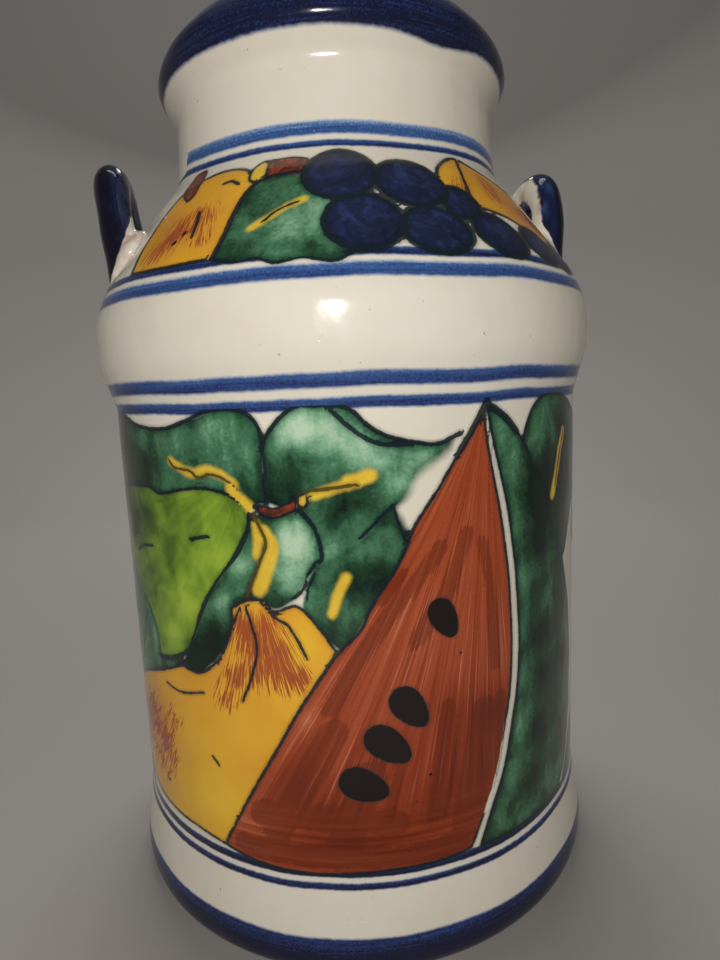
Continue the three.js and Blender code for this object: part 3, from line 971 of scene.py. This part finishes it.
def inked(g, place, colour):
    """Brush lines a little uneven in width, with a faint halo, over the colour."""
    ragged = g.noise(place, 1.8, 2, 0.6)
    side = g.math("ABSOLUTE", g.attribute("line_side"))
    width = g.attribute("line_width")
    beyond = g.less(g.attribute("line_near"), width)
    over = g.add(g.less(side, width), g.sway(ragged, 0.8))
    line = g.times(g.step(over, 0.16, -0.14), g.step(beyond, 0.8, 0.4), 0.94)
    colour = g.mix(g.times(g.step(beyond, 1.1, 0.0), 0.35), colour, INK_HALO)
    colour = g.mix(line, colour, g.mix(g.attribute("line_tint"), INK, INK_OLIVE))
    seed = g.step(g.add(g.attribute("seed"), g.sway(ragged, 0.5)), 0.2, -0.2)
    return g.mix(seed, colour, SEED)


def washes(g, place, colour):
    """The coloured washes over the white glaze: each kind's edge is soft and strays a little."""
    wobble = g.noise(place, 3.0, 2)
    wash_and_shade, fan, reach = (g.attribute(name) for name in ("wash_and_shade", "fan", "reach"))
    edges = {kind: g.attribute(kind) for kind in KINDS}
    paints = (  # kind, how soft and how stray its edge is, and its colour
        ("leaf", 0.6, 0.9, leaf_colour(g, place, wash_and_shade, edges["leaf"])),
        ("lime", 0.4, 1.2, lime_colour(g, place, wash_and_shade, fan, reach)),
        ("squash", 0.3, 1.0,
         squash_colour(g, place, wash_and_shade, g.attribute("scribble"), fan, reach)),
        ("flesh", 0.3, 0.8, flesh_colour(g, place, wash_and_shade, fan, reach)),
        ("stem", 0.25, 1.0, stem_colour(g, place)),
        ("vein", 0.9, 1.0, vein_colour(g, place)),
        ("grape", 0.3, 1.2, grape_colour(g, place, wash_and_shade, edges["grape"])),
    )
    running = g.add(1.0, g.times(g.attribute("blur"), 4.0))
    for kind, soft, stray, paint in paints:
        edge = g.add(edges[kind], g.sway(wobble, stray))
        if kind == "leaf":
            edge = g.math("DIVIDE", g.add(edge, -0.35), running)
        colour = g.mix(g.step(edge, soft, -soft), colour, paint)
    return colour


def painted_glaze():
    """The whole coat of the vase: white glaze, rings, washes and ink under one gloss."""
    g = Graph("painted_glaze")
    place = g.millimetres()
    rings, ring_paint = ring_colour(g, place)
    colour = g.mix(rings, white_glaze(g, place), ring_paint)
    colour = inked(g, place, washes(g, place, colour))
    bare = bare_foot(g, place)
    colour = g.mix(bare, colour, g.mix(g.noise(place, 2.4, 3, 0.65), BARE_CLAY, BARE_CLAY_DARK))
    thick = g.step(g.attribute("grape"), 0.3, -0.3)
    roughness = g.add(0.1, g.times(g.noise(place, 22, 3), 0.1), g.times(bare, 0.6),
                      g.times(thick, 0.16))
    glaze_relief(g, place, bare)
    return g.surface(colour, roughness, GLAZE_IOR)


def bare_foot(g, place):
    """Where the foot was wiped clean of glaze before firing."""
    edge = g.add(g.height(place), g.sway(g.noise(place, 9, 2), 1.2))
    return g.times(g.step(edge, 1.9, 1.3), outer_side(g))


def glaze_relief(g, place, bare):
    """Slow waves in the glaze, fine orange peel, pinholes, and sandy clay on the foot."""
    waves = g.times(g.noise(g.stretched(place, 1.0, 0.6), 18, 2), 0.55)
    peel = g.times(g.noise(place, 2.2, 1), 0.022)
    holes = g.times(g.step(g.noise(place, 1.9, 0), 0.84, 0.88), -0.06)
    sand = g.times(g.noise(place, 0.9, 3, 0.8), bare, 0.35)
    g.bump(waves, peel, holes, sand)


# ---- the handles ----
LEG_OFFSET, LEG_SPLAY = 16.4, 2.6
COIL_FOOT, COIL_TOP = 212.0, 255.5
COIL_PLACE, COIL_LEAVES, COIL_LEAN = 78.6, 222.5, 0.112
COIL_THICK, COIL_WIDE = 5.9, 7.3  # half sizes
PAD_ALONG, PAD_ACROSS, PAD_PROUD, PAD_HEIGHT = 10.0, 12.0, 4.0, 228.5
SINK = 2.5  # how deep a handle's foot sits in the wall
SLOPE = math.atan2(SHOULDER_TOP - COLLAR_TOP, SHOULDER_LOW - SHOULDER_HIGH)
TRIM_BOTTOM = 150.0  # well below the handles' feet


def coil_spine():
    """The middle of the coil as (along Y, up) points."""
    rise = COIL_TOP - COIL_FOOT
    half = [(LEG_OFFSET + LEG_SPLAY, 0), (LEG_OFFSET + LEG_SPLAY * 0.45, rise * 0.3),
            (LEG_OFFSET, rise * 0.55), (LEG_OFFSET * 0.83, rise * 0.8),
            (LEG_OFFSET * 0.48, rise * 0.95)]
    points = half + [(0, rise)] + [(-y, up) for y, up in reversed(half)]
    return spaced(spline(points), 0.9)


def coil_place(height):
    """How far from the axis the middle of the coil is at a height."""
    return COIL_PLACE + COIL_LEAN * (height - COIL_LEAVES)


def coil_rings():
    """The coil's oval section along its spine, rolled by hand and so not quite even."""
    spine = coil_spine()
    tangent = np.gradient(spine, axis=0)
    tangent /= np.hypot(*tangent.T)[:, None]
    around = np.linspace(0, 2 * math.pi, 32, endpoint=False)
    rings = []
    for number, ((y, up), (ty, tz)) in enumerate(zip(spine, tangent)):
        uneven = 1 + 0.025 * math.sin(number * 0.31) + 0.02 * math.sin(number * 0.13 + 1)
        wide = COIL_WIDE * uneven * np.cos(around)
        thick = COIL_THICK * uneven * np.sin(around)
        x = coil_place(COIL_FOOT + up) + thick
        rings.append(np.stack([x, y - wide * tz, COIL_FOOT + up + wide * ty], axis=1))
    return rings


def circle(radius, height, count):
    """Points around the axis, anticlockwise."""
    turns = [2 * math.pi * i / count for i in range(count)]
    return [(radius * math.cos(t), radius * math.sin(t), height) for t in turns]


def skin(mesh, rings, lid=True):
    """Adds rings of points to a bmesh, with faces between them, a bottom and perhaps a lid."""
    rings = [[mesh.verts.new(point) for point in ring] for ring in rings]
    for low, high in zip(rings, rings[1:]):
        for i in range(len(low)):
            mesh.faces.new((low[i - 1], low[i], high[i], high[i - 1]))
    mesh.faces.new(rings[0][::-1])
    if lid:
        mesh.faces.new(rings[-1])


def finished(name, mesh):
    """A scene object made from a bmesh."""
    data = bpy.data.meshes.new(name)
    mesh.to_mesh(data)
    mesh.free()
    return added(name, data)


def pad_mesh(mesh, side):
    """The clay smeared out on the shoulder around one leg."""
    share = (PAD_HEIGHT - COLLAR_TOP) / (SHOULDER_TOP - COLLAR_TOP)
    radius = SHOULDER_LOW + share * (SHOULDER_HIGH - SHOULDER_LOW)
    turn = side * math.asin((LEG_OFFSET + LEG_SPLAY / 2) / radius)
    place = (Matrix.Rotation(turn, 4, "Z") @ Matrix.Translation((radius, 0, PAD_HEIGHT))
             @ Matrix.Rotation(SLOPE - math.pi / 2, 4, "Y")
             @ Matrix.Diagonal((PAD_PROUD, PAD_ACROSS, PAD_ALONG, 1)))
    bmesh.ops.create_uvsphere(mesh, u_segments=40, v_segments=24, radius=1, matrix=place)


def trimming_solid():
    """What lies deeper than the handles' feet reach, as a solid to cut them with."""
    deep = SINK / math.sin(SLOPE)
    outline = ((SHOULDER_LOW, TRIM_BOTTOM), (SHOULDER_LOW, COLLAR_TOP),
               (SHOULDER_HIGH, SHOULDER_TOP))
    mesh = bmesh.new()
    skin(mesh, [circle(radius - deep, height, 180) for radius, height in outline])
    return finished("trimming", mesh)


def modify(piece, kind, **settings):
    """Changes the piece's mesh by one modifier."""
    modifier = piece.modifiers.new(kind, kind)
    for key, value in settings.items():
        setattr(modifier, key, value)
    graph = bpy.context.evaluated_depsgraph_get()
    made = bpy.data.meshes.new_from_object(piece.evaluated_get(graph))
    piece.modifiers.clear()
    piece.data = made


def handle(name, turn, unpainted):
    """One coil handle, luted to the shoulder and turned about Z to its side."""
    mesh = bmesh.new()
    skin(mesh, coil_rings())
    for side in (-1, 1):
        pad_mesh(mesh, side)
    piece = finished(name, mesh)
    modify(piece, "REMESH", mode="VOXEL", voxel_size=0.75)
    modify(piece, "SMOOTH", factor=0.5, iterations=14)
    knife = trimming_solid()
    modify(piece, "BOOLEAN", object=knife, operation="DIFFERENCE", solver="EXACT")
    bpy.data.objects.remove(knife)
    store_handle_fields(piece, unpainted)
    piece.data.transform(Matrix.Rotation(turn, 4, "Z") @ Matrix.Scale(MM, 4))
    piece.data.shade_smooth()
    piece.data.set_sharp_from_angle(angle=math.radians(50))
    return piece


def store_handle_fields(piece, unpainted):
    """outward: how far out on the coil a point lies, less where the navy stops sooner.
    clear: its height above the shoulder."""
    x, y, height = np.array([v.co for v in piece.data.vertices]).T
    store(piece, "outward", x - coil_place(height) - unpainted)
    store(piece, "clear", (np.hypot(x, y) - SHOULDER_LOW) * math.sin(SLOPE)
          + (height - COLLAR_TOP) * math.cos(SLOPE))


def handle_glaze():
    """Navy on the outer side of the coil, white glaze on its inner side and its feet."""
    g = Graph("handle_glaze")
    place = g.millimetres()
    wobble = g.noise(place, 5, 2)
    outward, clear = g.attribute("outward"), g.attribute("clear")
    outer = g.step(g.add(outward, g.sway(wobble, 1.4)), -6.4, -5.8)
    above = g.step(g.add(clear, g.times(outward, 0.55), g.sway(wobble, 1.6)), 2.9, 3.6)
    streaks = g.noise(g.stretched(place, 0.6, 0.25), 2.4, 2)
    thin = g.add(0.75, g.sway(streaks, 0.9), g.times(g.step(outward, 1.0, -2.5), -0.35))
    blue = g.ramp(thin, (0.0, COBALT), (0.35, (30, 38, 76)), (0.65, (18, 20, 38)),
                  (1.0, (12, 13, 22)))
    white = g.mix(g.step(g.noise(place, 7, 2), 0.45, 0.7), white_glaze(g, place), BLUSH)
    g.bump(g.times(g.noise(place, 7, 2), 0.35), g.times(g.noise(place, 1.6, 1), 0.03))
    roughness = g.add(0.1, g.times(g.noise(place, 8, 2), 0.1))
    return g.surface(g.mix(g.times(outer, above), white, blue), roughness, GLAZE_IOR)


# ---- the room, in metres ----
SWEEP_RADIUS, SWEEP_BEND, SWEEP_TALL, SWEEP_COLUMNS = 1.3, 0.5, 1.8, 96
PALE, PALE_GRAIN = (160, 156, 152), (120, 118, 114)
SKY, SKY_STRENGTH = (0.95, 0.97, 1.0, 1), 0.08


def make_floor():
    """A pale round sweep: floor, curve and wall, seen from its inside."""
    section = [(SWEEP_RADIUS - SWEEP_BEND * (1 - math.sin(t)), SWEEP_BEND * (1 - math.cos(t)))
               for t in np.linspace(0, math.pi / 2, 24)] + [(SWEEP_RADIUS, SWEEP_TALL)]
    mesh = bmesh.new()
    skin(mesh, [circle(r, z, SWEEP_COLUMNS)[::-1] for r, z in section], lid=False)
    floor = finished("floor", mesh)
    g = Graph("floor")
    grain = g.times(g.noise(g.millimetres(), 4, 2), 0.06)
    floor.data.materials.append(g.surface(g.mix(grain, PALE, PALE_GRAIN), 0.8))
    floor.data.shade_smooth()


def softbox(name, place, target, size, watts, colour=(1, 1, 1), mirrored=True):
    """A round lamp. Not mirrored, it leaves no glint on the glaze."""
    data = bpy.data.lights.new(name, "AREA")
    data.shape = "DISK"
    data.size = size
    data.energy = watts
    data.color = colour
    lamp = added(name, data)
    lamp.location = place
    lamp.rotation_euler = (Vector(target) - Vector(place)).to_track_quat("-Z", "Y").to_euler()
    lamp.visible_camera = False
    lamp.visible_glossy = mirrored


def make_lights():
    """A lamp beside the camera, two behind the vase, and one on the wall."""
    softbox("key", (-0.105, -0.435, 0.27), (0, 0, 0.17), 0.036, 1.2, (1, 0.98, 0.95))
    softbox("rear", (0.1, 0.75, 1.1), (0, 0, 0.15), 1.0, 8.0, mirrored=False)
    softbox("glint", (0.1, 0.75, 0.9), (0, 0, 0.15), 0.12, 0.35)
    softbox("wall", (0.0, 0.3, 1.2), (0.25, 1.3, 0.6), 0.6, 3.2)
    world = bpy.data.worlds.new("studio")
    world.use_nodes = True
    background = world.node_tree.nodes["Background"]
    background.inputs["Color"].default_value = SKY
    background.inputs["Strength"].default_value = SKY_STRENGTH
    bpy.context.scene.world = world


CAMERA_AZIMUTH = -10.0  # degrees, towards the left handle
CAMERA_DISTANCE = 2.9386 * BODY_RADIUS * MM
CAMERA_HEIGHT = 2.06 * BODY_RADIUS * MM
CAMERA_YAW, CAMERA_PITCH, CAMERA_ROLL = 0.91, 8.69, -2.474  # degrees
LENS = 23.5


def make_camera():
    """A phone held close, looking a little down and not quite level."""
    data = bpy.data.cameras.new("camera")
    data.lens = LENS
    data.sensor_width = 36.0
    data.clip_start = 0.01
    camera = added("camera", data)
    bpy.context.scene.camera = camera
    yaw, pitch, roll = (math.radians(v) for v in (CAMERA_YAW, CAMERA_PITCH, CAMERA_ROLL))
    level = Vector((math.cos(yaw), -math.sin(yaw), 0))
    forward = Vector((math.sin(yaw), math.cos(yaw), 0))
    ahead = forward * math.cos(pitch) - Vector((0, 0, math.sin(pitch)))
    upward = level.cross(ahead)
    right = level * math.cos(roll) + upward * math.sin(roll)
    up = upward * math.cos(roll) - level * math.sin(roll)
    turn = Matrix((right, up, -ahead)).transposed().to_4x4()
    about = Matrix.Rotation(math.radians(CAMERA_AZIMUTH), 4, "Z")
    camera.matrix_world = about @ Matrix.Translation((0, -CAMERA_DISTANCE, CAMERA_HEIGHT)) @ turn


# ---- putting it together ----
PLAIN_COLLAR = 200.0  # height on the collar where the two painted parts meet
SHOULDER_MIDDLE = 76.0  # radius at which the shoulder is laid flat


def make_vase():
    body_wall = np.concatenate([FOOT_CURVE, [(BODY_RADIUS, BODY_TOP)]])
    top_wall = np.concatenate([COLLAR_CURVE, NECK_CURVE])
    coat = painted_glaze()
    body, *where = turned("vase_body", body_profile(), closed=False)
    decorate(body, *where, FOOT_TOP, PLAIN_COLLAR, BODY_RADIUS, body_wall, paint_body)
    top, *where = turned("vase_top", top_profile(), closed=True)
    decorate(top, *where, PLAIN_COLLAR, HEIGHT - 8, SHOULDER_MIDDLE, top_wall, paint_shoulder)
    for piece in (body, top):
        piece.data.materials.append(coat)
        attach(piece, "root")
        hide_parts("vessel")


def make_handles():
    """Both handles. The navy stops a little sooner on the right one."""
    glaze = handle_glaze()
    sides = (("coil_right", "handle_right", 0.0, 1.2), ("coil_left", "handle_left", math.pi, 0.0))
    for name, node, turn, unpainted in sides:
        piece = handle(name, turn, unpainted)
        piece.data.materials.append(glaze)
        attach(piece, "root")
        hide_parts(node)


bpy.context.scene.view_settings.view_transform = "Standard"
make_camera()
make_lights()
make_floor()
make_vase()
make_handles()
